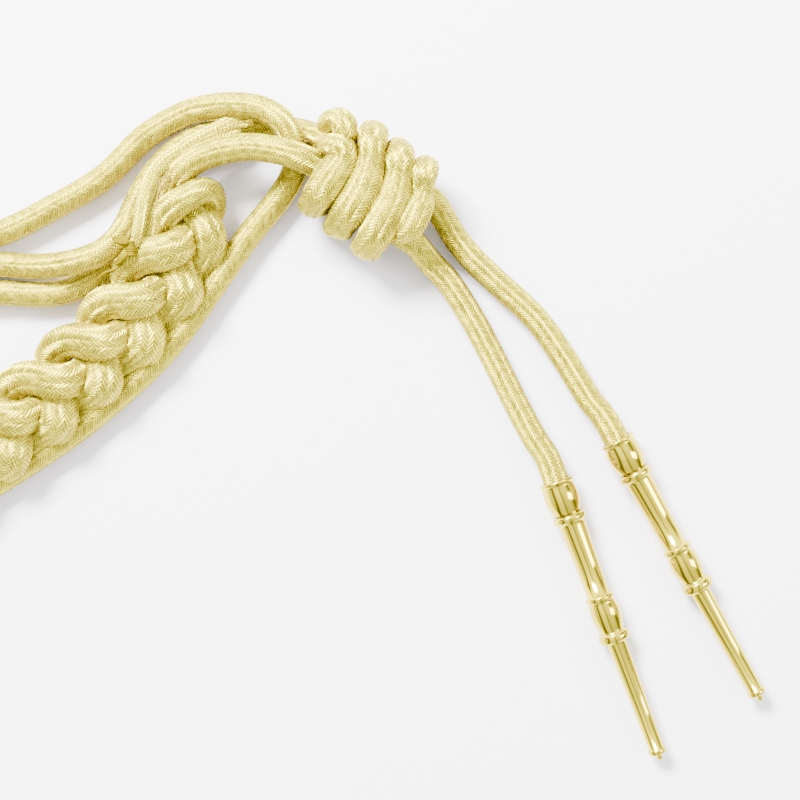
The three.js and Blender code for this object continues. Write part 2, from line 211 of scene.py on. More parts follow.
# x, y, z, width of the flattened sheath; the first row is its cut end
SHEATH_TAPE = [
    (-39.5, 72.9, 8.8, 4.8), (-42.8, 72.4, 9.2, 4.6), (-47.2, 70.2, 9.6, 4.4),
    (-51.8, 67.8, 10.0, 4.4), (-56.3, 64.8, 10.8, 4.4), (-60.3, 61.9, 11.8, 4.3),
    (-63.2, 58.3, 13.2, 4.1), (-64.9, 53.7, 15.2, 3.8), (-65.9, 48.2, 16.5, 3.6),
    (-66.7, 43.0, 16.8, 3.0), (-67.8, 39.0, 16.2, 2.2),
]
CORD_TAIL = [
    (-65.0, 38.2, 11.5), (-64.3, 41.4, 12.4), (-63.5, 45.0, 12.9), (-62.2, 49.4, 12.8),
    (-60.8, 54.1, 12.0), (-58.9, 58.9, 11.0), (-55.4, 63.2, 10.0), (-51.1, 65.9, 9.2),
    (-46.2, 68.0, 8.6), (-40.8, 69.8, 8.2),
]

TAPE_HALF_THICKNESS = 0.8
TAIL_HALF_WIDTHS = (2.5, 1.7)
TAIL_FLATNESS = 0.8
# Share of a stitch's ridge that fades out at its ends, depth of the groove between columns and
# least share of the radius at a rounded end
RIDGE_FADE = 0.65
COLUMN_GROOVE = 0.55
TIP_LEAST = 0.02
TAPE_STITCH = {"columns": 12, "length": 1.15, "slant": 1.3, "relief": 0.3}
TAIL_STITCH = {"columns": 10, "length": 0.9, "slant": 1.8}
# Centre and direction of a frayed end, its radius, its reach, number of threads and random seed
FRAYED_ENDS = [
    (SHEATH_TAPE[0][:3], (0.9, 0.25, 0.0), 1.6, 1.4, 26, 3),
    (LOOP_INNER[-1], (0.75, 0.6, 0.15), 2.6, 1.7, 60, 5),
]
FRAY_ROOT = 0.6
FRAY_SPREAD = 0.5
FRAY_RADIUS = 0.16
CURL_RADIUS = 0.2
THREAD_STEP = 0.3
# Loose ends of gold thread beside the tail and where the lead cords enter the knot
GOLD_CURLS = [
    [(-62.0, 52.0, 15.0), (-61.0, 54.2, 15.2), (-61.6, 56.0, 14.8), (-60.2, 57.4, 14.6),
     (-59.2, 59.4, 13.8)],
    [(-63.3, 50.0, 15.2), (-62.0, 51.0, 15.4), (-61.8, 53.0, 15.2), (-60.2, 54.6, 14.8),
     (-60.4, 56.6, 14.4), (-58.6, 57.6, 14.0)],
    [(-60.6, 51.6, 14.4), (-59.8, 53.6, 14.6), (-60.6, 55.0, 14.8), (-58.8, 56.2, 14.2)],
    [(-25.8, 68.7, 10.2), (-24.9, 67.8, 10.8), (-23.8, 67.5, 11.0), (-22.8, 66.8, 10.6)],
    [(-25.2, 67.4, 10.6), (-24.4, 66.8, 11.0), (-23.4, 66.9, 11.0), (-22.6, 66.2, 10.4)],
]

# Shoulder end
OUTLINE_POINTS = 96
BINDING_ROUND = 3.0
BINDING_DOME = 0.04
BINDING_DOME_RINGS = (0.3, 0.6, 0.85, 0.97)
BINDING_CORNER = 4.0
TAB_CORNER = 4.0
SLOT_WIDTH = 5.0
SLOT_LENGTH = 14.0
SEAM_INSETS = (3.2, 4.6)
SEAM_SINK = 0.35
TAB_SEAM_INSET = 2.0
# Length of a seam's stitch, the gap after it and its height
SEAM_STITCH = (2.0, 0.9, 0.3)
TAB_STITCH = (1.6, 0.8, 0.25)
# Section of the tab from the slot's edge (0) to the outer edge (1), share of its thickness
TAB_SECTION = [
    (0.0, 0.3), (0.03, 0.06), (0.1, 0.0), (0.9, 0.0), (0.97, 0.1), (1.0, 0.5), (0.97, 0.9),
    (0.9, 1.0), (0.1, 1.0), (0.03, 0.94), (0.0, 0.7),
]
SEAM_THREAD_RADIUS = 0.22
BUTTONHOLE_STITCHES = 64
BUTTONHOLE_STITCH_REACH = 1.8

# Yellow tie thread
TIE_THREAD_RADIUS = 0.36
TIE_CENTRE = (-68.5, 38.4, 14.6)
TIE_ALONG = (0.06, -1.0, 0.0)
TIE_TURNS = 7
TIE_PITCH = 0.55
TIE_HALF_WIDTH = 1.35
TIE_HALF_HEIGHT = 3.0
TIE_WOBBLE = 0.12
TIE_BOW_LIFT = 0.45
TIE_BOW_STRAND = 0.28
# Root and far end of each bow, half its width
TIE_BOWS = [
    ((-69.2, 40.2, 17.6), (-72.6, 41.2, 16.6), 0.3),
    ((-69.2, 39.8, 17.9), (-72.0, 40.4, 17.2), 0.25),
    ((-69.3, 37.4, 17.4), (-72.2, 35.0, 15.6), 0.45),
    ((-69.3, 37.0, 17.8), (-71.4, 35.2, 16.4), 0.2),
]
TIE_END = [(-71.0, 35.0, 14.6), (-73.4, 33.6, 12.6), (-76.0, 32.8, 12.0), (-78.2, 31.2, 10.4)]

# Outer shape of the metal points: distance from the mouth, diameter
POINT_PROFILE = [
    (0.0, 8.9), (0.15, 9.3), (0.4, 9.5), (0.7, 9.4), (0.95, 9.0), (1.05, 8.4), (1.7, 8.62),
    (2.6, 8.96), (3.6, 9.22), (4.6, 9.3), (5.6, 9.18), (6.6, 8.84), (7.6, 8.3), (8.5, 7.66),
    (9.2, 7.15), (9.5, 7.05), (9.62, 8.6), (9.85, 9.0), (10.4, 9.2), (11.0, 9.05),
    (11.25, 8.6), (11.4, 7.4), (12.2, 7.2), (13.2, 7.1), (22.0, 6.5), (32.0, 5.9),
    (32.15, 7.2), (32.4, 7.6), (32.9, 7.75), (33.4, 7.6), (33.65, 7.1), (33.8, 6.85),
    (34.6, 7.35), (35.6, 7.75), (36.8, 8.0), (38.0, 7.9), (39.2, 7.55), (40.6, 7.0),
    (41.8, 6.4), (42.4, 6.1), (42.55, 7.9), (42.9, 8.3), (43.6, 8.5), (44.3, 8.4),
    (44.8, 8.0), (45.0, 5.4), (45.6, 5.25), (60.0, 4.55), (75.0, 3.9), (75.15, 4.5),
    (75.5, 4.85), (76.1, 4.9), (76.5, 4.6), (76.7, 3.0), (76.85, 1.6), (77.6, 1.5),
    (78.2, 1.3),
]
POINT_NIB = 78.4
POINT_CENTRE_RADIUS = 0.05
POINT_SEGMENTS = 72
# Depth and radius of the hole that the cord sits in
POINT_BORE = (11.0, 3.7)

# Lights and floor; places of the lights over the bench, metres
KEY_PLACE = (-0.45, 0.65, 0.75)
KEY_SIZE = (0.42, 0.3)
SIDE_PLACE = (0.75, 0.1, 0.6)
SIDE_SIZE = (0.3, 0.5)
SIDE_SHARE = 0.1
FLOOR_HALF = 3.0
FLOOR_DROP = 0.0001
FLOOR_COLOUR = (0.86, 0.83, 0.885)

# Brightness of the room, which has long dark strips that run along the metal points:
# place across the room from 0 to 1, value
SKY = [
    (0.0, 1.2), (0.055, 1.1), (0.085, 0.18), (0.14, 0.14), (0.18, 1.5), (0.34, 1.9),
    (0.43, 1.3), (0.45, 0.1), (0.475, 0.08), (0.50, 1.1), (0.60, 1.5), (0.78, 1.7),
    (0.86, 0.8), (0.905, 0.22), (0.945, 0.22), (0.97, 1.1), (1.0, 1.2),
]
SKY_ACROSS = (0.92, 0.39, 0.0)
# The room is also dimmer towards this side: brightness from the far side to this one
SKY_DIM_SIDE = (0.5, -0.85, 0.15)
SKY_DIM_RANGE = (1.4, 0.4)

# Painted shade: threads that face sideways or down are a deeper gold, standing in for their shade; slope
# range, share and colour
UNDERSIDE_SHADE_FACING = (0.6, -0.3)
UNDERSIDE_SHADE_SHARE = 0.8
UNDERSIDE_SHADE_COLOUR = (0.36, 0.24, 0.0)
STITCH_FILAMENTS = 4.0
BUMP_DISTANCE = 0.0002

# Lines and frames


def lengths_along(line):
    return np.concatenate([[0.0], np.cumsum(np.linalg.norm(np.diff(line[:, :3], axis=0), axis=1))])


def sample(values, s, at):
    """The columns of values, which are given at the lengths s, read at other lengths."""
    return np.stack([np.interp(at, s, column) for column in values.T], axis=-1)


def even_line(line, step):
    s = lengths_along(line)
    count = max(2, int(round(s[-1] / step)) + 1)
    return sample(line, s, np.linspace(0.0, s[-1], count))


def smooth_line(rows, step=0.25):
    """Centripetal curve through the rows, as points an even step apart, in millimetres."""
    p = np.array(rows, dtype=float)
    p = np.vstack([2 * p[0] - p[1], p, 2 * p[-1] - p[-2]])
    parts = []
    for i in range(1, len(p) - 2):
        p0, p1, p2, p3 = p[i - 1 : i + 3]
        t1 = max(np.linalg.norm(p1 - p0), 1e-6) ** 0.5
        t2 = t1 + max(np.linalg.norm(p2 - p1), 1e-6) ** 0.5
        t3 = t2 + max(np.linalg.norm(p3 - p2), 1e-6) ** 0.5
        t = np.linspace(t1, t2, CURVE_SAMPLES, endpoint=False)[:, None]
        a1 = (t1 - t) / t1 * p0 + t / t1 * p1
        a2 = (t2 - t) / (t2 - t1) * p1 + (t - t1) / (t2 - t1) * p2
        a3 = (t3 - t) / (t3 - t2) * p2 + (t - t2) / (t3 - t2) * p3
        b1 = (t2 - t) / t2 * a1 + t / t2 * a2
        b2 = (t3 - t) / (t3 - t1) * a2 + (t - t1) / (t3 - t1) * a3
        parts.append((t2 - t) / (t2 - t1) * b1 + (t - t1) / (t2 - t1) * b2)
    return even_line(np.vstack(parts + [p[-2][None]]), step)


def unit(v):
    return v / np.maximum(np.linalg.norm(v, axis=-1, keepdims=True), 1e-9)


def carried_frames(line):
    """Two across directions, carried along the line without twist."""
    tangent = unit(np.gradient(line, axis=0))
    start = np.array(UP)
    if abs(tangent[0] @ start) > 0.9:
        start = np.array([1.0, 0.0, 0.0])
    first = np.empty_like(line)
    v = unit(start - (start @ tangent[0]) * tangent[0])
    for i, t in enumerate(tangent):
        v = v - (v @ t) * t
        v = v / np.linalg.norm(v)
        first[i] = v
    return first, np.cross(tangent, first)


def full_turn(count):
    return np.arange(count) / count * 2 * math.pi


def plait_section(phase):
    """Place of a cord in the plait's cross-section: across, up."""
    wide = PLAIT_HALF_WIDTH * np.sin(phase)
    high = PLAIT_HALF_HEIGHT * (np.sin(2 * phase) + PLAIT_FLATTENING * np.sin(4 * phase))
    across = wide * math.cos(PLAIT_ROLL) + high * math.sin(PLAIT_ROLL)
    up = -wide * math.sin(PLAIT_ROLL) + high * math.cos(PLAIT_ROLL)
    return across, up


def plait_rows(index, weave_from):
    """Points, thin direction and how high each point lies in the plait (0 low, 1 high)."""
    span = plait_section(np.linspace(0, 2 * math.pi, 361))[1]
    axis = smooth_line([(x, y, PLAIT_SOLID_RADIUS - span.min()) for x, y in PLAIT_AXIS])
    lengths = lengths_along(axis)
    s = np.arange(weave_from, lengths[-1], PLAIT_PITCH / PLAIT_SAMPLES)
    along = unit(sample(np.gradient(axis, axis=0), lengths, s))
    side = np.stack([along[:, 1], -along[:, 0], 0 * s], axis=1)
    up = np.array([UP])
    phase = 2 * math.pi * (s / PLAIT_PITCH + index / 3) + PLAIT_START
    across, rise = plait_section(phase)
    high = (rise - span.min()) / (span.max() - span.min())
    share = np.clip((s - PLAIT_SHIFT_FROM) / PLAIT_SHIFT_OVER, 0, 1)
    across = across + share * (
        PLAIT_EDGE_BULGE * np.clip(across / PLAIT_HALF_WIDTH, 0, None) ** 2
        - PLAIT_CROSSING_SHIFT * (np.cos(phase) * (1 - np.sin(phase)) / 2) ** 2
        - PLAIT_TOP_SHIFT * high ** 2)
    points = sample(axis, lengths, s) + side * across[:, None] + up * rise[:, None]
    thin = side * math.sin(PLAIT_ROLL) + up * math.cos(PLAIT_ROLL)
    return points, thin, high ** 1.5


# Meshes


def add_object(name, data):
    made = bpy.data.objects.new(name, data)
    bpy.context.scene.collection.objects.link(made)
    return made


def mesh_piece(name, vertices, loops, starts, smooth=True):
    """An object from its vertices, the corners of its faces and each face's first corner."""
    mesh = bpy.data.meshes.new(name)
    mesh.vertices.add(len(vertices))
    mesh.vertices.foreach_set("co", np.asarray(vertices, dtype=np.float32).ravel())
    mesh.loops.add(len(loops))
    mesh.loops.foreach_set("vertex_index", np.asarray(loops, dtype=np.int32))
    mesh.polygons.add(len(starts))
    mesh.polygons.foreach_set("loop_start", np.asarray(starts, dtype=np.int32))
    mesh.update(calc_edges=True)
    mesh.polygons.foreach_set("use_smooth", np.full(len(starts), smooth))
    mesh.validate()
    return add_object(name, mesh)


def tube_faces(count, around, closed_section=False):
    """Corners and first corners of the faces from ring to ring, capped or closed on itself."""
    i = np.arange(count if closed_section else count - 1)[:, None]
    j = np.arange(around)[None, :]
    k = (j + 1) % around
    after = (i + 1) % count * around
    i = i * around
    faces = np.stack([i + j, i + k, after + k, after + j], -1).reshape(-1, 4)
    loops, starts = [faces.ravel()], [np.arange(len(faces)) * 4]
    if not closed_section:
        loops += [np.arange(around)[::-1], (count - 1) * around + np.arange(around)]
        starts.append(len(faces) * 4 + np.array([0, around]))
    return np.concatenate(loops), np.concatenate(starts)


def ring_mesh(name, rings, closed_section=False):
    return mesh_piece(name, np.vstack(rings), *tube_faces(len(rings), len(rings[0]), closed_section))


def stitching(**changes):
    """Stitch sizes in millimetres from the settings, some of them changed for one piece."""
    sizes = bpy.context.scene.aiguillette_cords
    stitch = {
        "columns": sizes.columns,
        "points": sizes.points_per_column,
        "length": sizes.stitch_length / MM,
        "relief": sizes.stitch_relief / MM,
        "slant": sizes.stitch_slant / MM,
    }
    stitch.update(changes)
    return stitch


def braided_tube(name, line, half_wide, half_thin, thin=UP, rounded=(False, False), stitch=None):
    """A tube of slanted stitches round a line. Sizes in millimetres, one or one a point."""
    stitch = stitch or stitching()
    s_line = lengths_along(line)
    total = s_line[-1]
    per_column = stitch["points"]
    around = stitch["columns"] * per_column
    rows = 2 * max(2, int(round(total / stitch["length"])))
    turn = full_turn(around)
    share = (np.arange(around) % per_column) / per_column
    which = (np.arange(around) // per_column) % 2
    zigzag = np.where(which == 0, share, 1 - share) - 0.5
    edge = np.abs(2 * share - 1) ** 2

    base = np.linspace(0.0, total, rows + 1)[:, None]
    at = np.clip(base + (zigzag * stitch["slant"])[None, :], 0.0, total)
    ridge = (np.arange(rows + 1) % 2)[:, None].astype(float)
    lift = stitch["relief"] * (
        (ridge - 0.5) * (1 - RIDGE_FADE * edge)[None, :] - COLUMN_GROOVE * edge[None, :])

    press = np.broadcast_to(thin, line.shape)
    centre, e1, e2, press = (
        sample(values, s_line, at) for values in (line, *carried_frames(line), press))
    thin_angle = np.arctan2((press * e2).sum(-1), (press * e1).sum(-1))
    wide_here, thin_here = (
        np.interp(at, s_line, np.broadcast_to(half, len(line))) for half in (half_wide, half_thin))
    angle = turn[None, :] - thin_angle
    radius = wide_here * thin_here / np.sqrt(
        (wide_here * np.cos(angle)) ** 2 + (thin_here * np.sin(angle)) ** 2) + lift
    for flag, distance in ((rounded[0], at), (rounded[1], total - at)):
        if flag:
            near = np.clip(distance / wide_here, 0.0, 1.0)
            radius = radius * np.sqrt(np.maximum(1 - (1 - near) ** 2, TIP_LEAST ** 2))
    direction = e1 * np.cos(turn)[None, :, None] + e2 * np.sin(turn)[None, :, None]
    grid = (centre + direction * radius[..., None]) * MM + BENCH
    grid[..., 2] = np.maximum(grid[..., 2], 0.0)

    u = np.broadcast_to(np.arange(around) / per_column, (rows, around))
    v = np.broadcast_to(np.arange(rows)[:, None] / 2, (rows, around))
    step_u = 1 / per_column
    uv = np.stack([np.stack([u + right, v + on], -1) for right, on in
                   ((0, 0), (step_u, 0), (step_u, 0.5), (0, 0.5))], axis=2).reshape(-1, 2)
    uv = np.vstack([uv, np.full((2 * around, 2), 0.5)])
    piece = ring_mesh(name, grid)
    layer = piece.data.uv_layers.new(name="stitches")
    layer.data.foreach_set("uv", uv.astype(np.float32).ravel())
    return piece


def threads(name, lines, radius, sides=6):
    """Many thin threads as one mesh; each line in millimetres on the bench."""
    vertices, loops, starts, used, begin = [], [], [], 0, 0
    turn = full_turn(sides)
    for line in lines:
        first, second = carried_frames(line)
        ring = first[:, None] * np.cos(turn)[None, :, None]
        ring = ring + second[:, None] * np.sin(turn)[None, :, None]
        vertices.append((line[:, None] + ring * radius).reshape(-1, 3) * MM + BENCH)
        corners, first_corners = tube_faces(len(line), sides)
        loops.append(corners + used)
        starts.append(first_corners + begin)
        used += len(line) * sides
        begin += len(corners)
    return mesh_piece(name, np.vstack(vertices), np.concatenate(loops), np.concatenate(starts))


def frayed_end(centre, direction, radius, reach, count, seed):
    """Lines of short loose threads standing out of a cut cord end."""
    chance = np.random.default_rng(seed)
    direction = unit(np.array(direction, dtype=float))
    side = unit(np.cross(direction, UP))
    other = np.cross(side, direction)
    lines = []
    for _ in range(count):
        angle = chance.uniform(0, 2 * math.pi)
        out = radius * math.sqrt(chance.uniform(0.1, 1.0))
        away = side * math.cos(angle) + other * math.sin(angle)
        start = np.array(centre) + away * out - direction * FRAY_ROOT
        end = start + direction * (FRAY_ROOT + reach * chance.uniform(0.4, 1.0)) + away * (
            FRAY_SPREAD * out / radius * reach * chance.uniform(0.2, 1.0))
        middle = (start + end) / 2 + direction * 0.15 * reach
        lines.append(smooth_line([start, middle, end], THREAD_STEP))
    return lines


def turned(name, profile, start, end):
    """Turned shape from (distance, radius) rows, closed, along a line in metres."""
    axis = unit(end - start)
    across = unit(np.cross(axis, UP))
    other = np.cross(axis, across)
    angle = full_turn(POINT_SEGMENTS)[:, None]
    ring = across[None] * np.cos(angle) + other[None] * np.sin(angle)
    return ring_mesh(name, [start + axis * along + ring * radius for along, radius in profile])


# Materials


def add_node(tree, kind, values=None, **settings):
    """A shader node; each of its values is a constant or the socket that gives it."""
    node = tree.nodes.new("ShaderNode" + kind)
    for name, setting in settings.items():
        setattr(node, name, setting)
    for name, value in (values or {}).items():
        fill_socket(tree, node.inputs[name], value)
    return node


def fill_socket(tree, socket, value):
    if isinstance(value, bpy.types.NodeSocket):
        tree.links.new(value, socket)
    else:
        socket.default_value = value


def add_math(tree, operation, *values):
    return add_node(tree, "Math", dict(enumerate(values)), operation=operation).outputs[0]


def add_mix(tree, factor, a, b):
    values = {"Factor": factor, "A": a, "B": b}
    return add_node(tree, "Mix", values, data_type="RGBA").outputs["Result"]


def add_range(tree, value, low, high):
    """A value from 0 to 1 carried over to another range."""
    values = {"Value": value, "To Min": low, "To Max": high}
    return add_node(tree, "MapRange", values).outputs["Result"]


def add_bump(tree, height, strength):
    values = {"Strength": strength, "Distance": BUMP_DISTANCE, "Height": height}
    return add_node(tree, "Bump", values).outputs["Normal"]


def shade(colour, *shares):
    """The colour with full alpha, each part of it times its share."""
    return (*(part * share for part, share in zip(colour, shares or (1, 1, 1))), 1)


def braid_finish_group():
    """Colour, roughness and height of metallised thread from the stitch coordinates; the colour turns to
    the groove colour deep between the stitches and at the column edges, as painted shade.
    """
    name = "braid_finish"
    if name in bpy.data.node_groups:
        return bpy.data.node_groups[name]
    group = bpy.data.node_groups.new(name, "ShaderNodeTree")
    for label, way, kind, default in (
            ("Stitch", "INPUT", "Vector", None),
            ("Thread", "INPUT", "Color", (0.9, 0.8, 0.5, 1)),
            ("Groove", "INPUT", "Color", (0.5, 0.3, 0.05, 1)),
            ("Variation", "INPUT", "Float", 0.2),
            ("Filaments", "INPUT", "Float", 5.0),
            ("Color", "OUTPUT", "Color", None),
            ("Roughness", "OUTPUT", "Float", None),
            ("Height", "OUTPUT", "Float", None)):
        socket = group.interface.new_socket(
            name=label, in_out=way, socket_type="NodeSocket" + kind)
        if default is not None:
            socket.default_value = default
    given = group.nodes.new("NodeGroupInput").outputs
    result = group.nodes.new("NodeGroupOutput").inputs

    def calc(operation, *values):
        return add_math(group, operation, *values)

    def from_middle(place):
        """0 in the middle of a stitch to 1 at its edge."""
        return calc("MULTIPLY", calc("ABSOLUTE", calc("SUBTRACT", calc("FRACT", place), 0.5)), 2.0)

    u, v, _ = add_node(group, "SeparateXYZ", {0: given["Stitch"]}).outputs
    column_edge = calc("MULTIPLY", calc("POWER", from_middle(u), 4.0), 0.45)
    depth = calc("MAXIMUM", column_edge, calc("POWER", from_middle(v), 1.6))
    cell = add_node(group, "CombineXYZ", {0: calc("FLOOR", u), 1: calc("FLOOR", v)}).outputs[0]
    chance = add_node(group, "TexWhiteNoise", {"Vector": cell}, noise_dimensions="3D")
    spread = calc("SUBTRACT", chance.outputs["Value"], 0.5)
    spread = calc("MULTIPLY", spread, given["Variation"])
    # Painted shade: the colour turns to the groove colour deep between the stitches
    colour = add_mix(group, depth, given["Thread"], given["Groove"])
    tone = add_node(group, "HueSaturation", {"Value": calc("ADD", spread, 1.0), "Color": colour})
    rough = calc("ADD", calc("MULTIPLY", depth, 0.25), 0.26)
    rough = calc("ADD", rough, calc("MULTIPLY", spread, 0.5))
    fine = calc("MULTIPLY", calc("MULTIPLY", v, given["Filaments"]), 2 * math.pi)
    fine = calc("MULTIPLY", calc("SINE", fine), 0.15)
    height = calc("ADD", calc("SUBTRACT", 1.0, depth), fine)
    fill_socket(group, result["Color"], tone.outputs["Color"])
    fill_socket(group, result["Roughness"], rough)
    fill_socket(group, result["Height"], height)
    return group


def new_material(name, build, *values):
    """A new material, or the one of that name, from the sockets that build gives its shader."""
    if name not in bpy.data.materials:
        material = bpy.data.materials.new(name)
        material.use_nodes = True
        tree = material.node_tree
        shader = next(n for n in tree.nodes if n.type == "BSDF_PRINCIPLED")
        for socket, value in build(tree, *values).items():
            fill_socket(tree, shader.inputs[socket], value)
    return bpy.data.materials[name]


def braided(tree, thread, groove, metallic, variation):
    """Braided thread, with painted shade: a deeper gold where it faces sideways or down."""
    uv = add_node(tree, "UVMap", uv_map="stitches")
    braid = add_node(tree, "Group", node_tree=braid_finish_group())
    for name, value in (("Stitch", uv.outputs[0]), ("Thread", shade(thread)),
                        ("Groove", shade(groove)), ("Variation", variation),
                        ("Filaments", STITCH_FILAMENTS)):
        fill_socket(tree, braid.inputs[name], value)
    normal = add_node(tree, "TexCoord").outputs["Normal"]
    facing = add_node(tree, "SeparateXYZ", {0: normal}).outputs[2]
    # Painted shade: the share of deeper gold grows as the thread turns sideways or down
    low = add_node(tree, "MapRange", {
        "Value": facing, "From Min": UNDERSIDE_SHADE_FACING[0], "From Max": UNDERSIDE_SHADE_FACING[1],
        "To Max": UNDERSIDE_SHADE_SHARE}).outputs["Result"]
    return {
        "Base Color": add_mix(tree, low, braid.outputs["Color"], shade(UNDERSIDE_SHADE_COLOUR)),
        "Roughness": braid.outputs["Roughness"],
        "Normal": add_bump(tree, braid.outputs["Height"], 0.9),
        "Metallic": metallic,
        "Specular IOR Level": 0.6,
    }


def plain_thread(tree, colour, metallic, roughness, gloss=0.5):
    """Twisted sewing thread: a plain colour with a fine uneven sheen."""
    place = add_node(tree, "TexCoord").outputs["Object"]
    grain = add_node(tree, "TexNoise", {"Vector": place, "Scale": 2500.0}).outputs["Fac"]
    return {
        "Base Color": add_mix(tree, grain, shade(colour, 0.8, 0.72, 0.6), shade(colour)),
        "Metallic": metallic,
        "Roughness": roughness,
        "Specular IOR Level": gloss,
    }


def polished_metal(tree, colour):
    """Polished gilt with faint smears."""
    place = add_node(tree, "TexCoord").outputs["Object"]
    smears = add_node(tree, "TexNoise", {"Vector": place, "Scale": 180.0, "Detail": 4.0})
    smears = smears.outputs["Fac"]
    return {
        "Base Color": add_mix(tree, smears, shade(colour), shade(colour, 0.93, 0.90, 0.7)),
        "Roughness": add_range(tree, smears, 0.08, 0.15),
        "Metallic": 1.0,
    }


def woven_cloth(tree, colour, scale, metallic):
    """Plain weave, with painted shade darker between the threads."""
    place = add_node(tree, "TexCoord").outputs["Object"]
    warp, weft = (
        add_node(tree, "TexWave", {"Vector": place, "Scale": scale, "Distortion": 0.6},
                 bands_direction=way).outputs["Fac"] for way in "XY")
    cross = add_math(tree, "MULTIPLY", warp, weft)
    return {
        # Painted shade: the colour is darker between the threads
        "Base Color": add_mix(tree, cross, shade(colour, 0.62, 0.55, 0.42), shade(colour)),
        "Roughness": add_range(tree, cross, 0.9, 0.7),
        "Normal": add_bump(tree, cross, 0.5),
        "Metallic": metallic,
        "Specular IOR Level": 0.1,
    }


def finish_piece(piece, look, *nodes):
    """Gives a piece its material and its body, and hides the CAD nodes that it replaces."""
    finish = bpy.context.scene.aiguillette_finish
    slot, build, colours, values = LOOKS[look]
    colours = (getattr(finish, colour) for colour in colours)
    piece.data.materials.append(new_material(look, build, *colours, *values))
    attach(piece, BODY)
    if nodes:
        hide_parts(*nodes)
    return piece


# Slot, material, colours and values of each look. No look is named like a slot, because the
# frame has materials of its own with those names.
LOOKS = {
    "braided_gold_thread": ("gold_thread", braided, ("thread", "groove"), (0.8, 0.5)),
    "emptied_sheath": ("gold_thread", braided, ("thread", "groove"), (0.7, 0.4)),
    "gold_thread_ends": ("gold_thread", plain_thread, ("thread",), (0.6, 0.4)),
    "loose_gold_thread": ("gold_thread", plain_thread, ("groove",), (0.5, 0.45)),
    "yellow_sewing_thread": ("yellow_thread", plain_thread, ("tie",), (0.0, 0.9, 0.0)),
    "polished_gilt": ("gold_metal", polished_metal, ("gilt",), ()),
    "woven_gold_cloth": ("gold_cloth", woven_cloth, ("cloth",), (600.0, 0.35)),
}


# Settings


length_setting = functools.partial(FloatProperty, min=0.004, unit="LENGTH")
colour_setting = functools.partial(FloatVectorProperty, size=3, subtype="COLOR", min=0, max=1)


class AiguilletteCords(bpy.types.PropertyGroup):
    cord_diameter: length_setting(
        name="Cord diameter", description="Thickness of a loose cord",
        default=0.0066, min=0.003)
    plait_over_width: length_setting(
        name="Plait cord width", description="Width of a plait cord where it lies on top",
        default=0.0099)
    plait_under_width: length_setting(
        name="Plait cord width below", description="Width of a plait cord where it lies under",
        default=0.0099)
    plait_thickness: length_setting(
        name="Plait cord thickness", description="Thickness of the pressed plait cords",
        default=0.0062)
    knot_width: length_setting(
        name="Knot turn width", description="Width of a pressed turn of the knot",
        default=0.0077)
    knot_thickness: length_setting(
        name="Knot turn thickness", description="Thickness of a pressed turn of the knot",
        default=0.0057)
    stitch_length: length_setting(
        name="Stitch spacing", description="Distance from stitch to stitch along the cord",
        default=0.0008, min=0.0003)
    stitch_relief: length_setting(
        name="Stitch relief", description="Height of a stitch over the grooves beside it",
        default=0.0003, min=0.0)
    stitch_slant: length_setting(
        name="Stitch slant", description="How far a stitch runs along the cord across its column",
        default=0.00145, min=0.0)
    columns: IntProperty(
        name="Columns", description="Columns of stitches round the cord", default=12, min=4)
    points_per_column: IntProperty(
        name="Points per column", description="Mesh points across one column", default=3, min=2)


class AiguilletteFinish(bpy.types.PropertyGroup):
    thread: colour_setting(
        name="Gold thread", description="Colour of the metallised thread",
        default=(0.82, 0.73, 0.025))
    # Painted shade deep between the stitches; the loose gold threads are given the same colour
    groove: colour_setting(
        name="Groove", description="Colour deep between the stitches",
        default=(0.18, 0.12, 0.0))
    gilt: colour_setting(
        name="Gilt", description="Colour of the metal points",
        default=(0.64, 0.52, 0.02))
    tie: colour_setting(
        name="Tie thread", description="Colour of the tie thread",
        default=(0.17, 0.135, 0.0))
    cloth: colour_setting(
        name="Cloth", description="Colour of the shoulder binding",
        default=(0.22, 0.17, 0.01))


class AiguilletteStage(bpy.types.PropertyGroup):
    camera_height: FloatProperty(
        name="Camera height", description="Height of the camera over the table",
        default=0.43, min=0.05, unit="LENGTH")
    half_width: FloatProperty(
        name="Half view", description="Half the width of table that the view takes in",
        default=0.106, min=0.01, unit="LENGTH")
    sky_strength: FloatProperty(
        name="Sky strength", description="Brightness of the room round the table",
        default=2.3, min=0.0)
    key_power: FloatProperty(
        name="Key light", description="Power of the main soft light in watts",
        default=105.0, min=0.0)


# Operators


def loose_cord(name, rows, rounded=(False, False)):
    line = smooth_line(rows)
    radius = bpy.context.scene.aiguillette_cords.cord_diameter / MM / 2
    return braided_tube(name, line, radius, radius, rounded=rounded), line


def plait_cord(name, before, start, bend, nodes):
    """One cord: a strand of the weave or none, a bend, then another strand of the weave."""
    sizes = bpy.context.scene.aiguillette_cords
    points, thin, high = start
    woven = np.clip(WEAVE_PRESS[0] + WEAVE_PRESS[1] * np.arange(len(points)), 0, 1)
    bend = np.array(bend, dtype=float)
    parts = [np.column_stack([bend, np.repeat(thin[:1], len(bend), axis=0),
                              np.zeros(len(bend)), np.full(len(bend), BEND_PRESS)]),
             np.column_stack([points, thin, high, woven])]
    if before is not None:
        points, thin, high = (part[::-1] for part in before)
        parts.insert(0, np.column_stack([points, thin, high, np.ones(len(points))]))
    packed = smooth_line(np.vstack(parts))
    loose = sizes.cord_diameter / MM / 2
    half_thin = sizes.plait_thickness / MM / 2
    under = sizes.plait_under_width / MM / 2
    half_wide = under + (sizes.plait_over_width / MM / 2 - under) * packed[:, 6]
    share = np.clip(packed[:, 7], 0, 1)
    piece = braided_tube(name, packed[:, :3], loose + (half_wide - loose) * share,
                         loose + (half_thin - loose) * share, unit(packed[:, 3:6]))
    finish_piece(piece, "braided_gold_thread", *nodes)


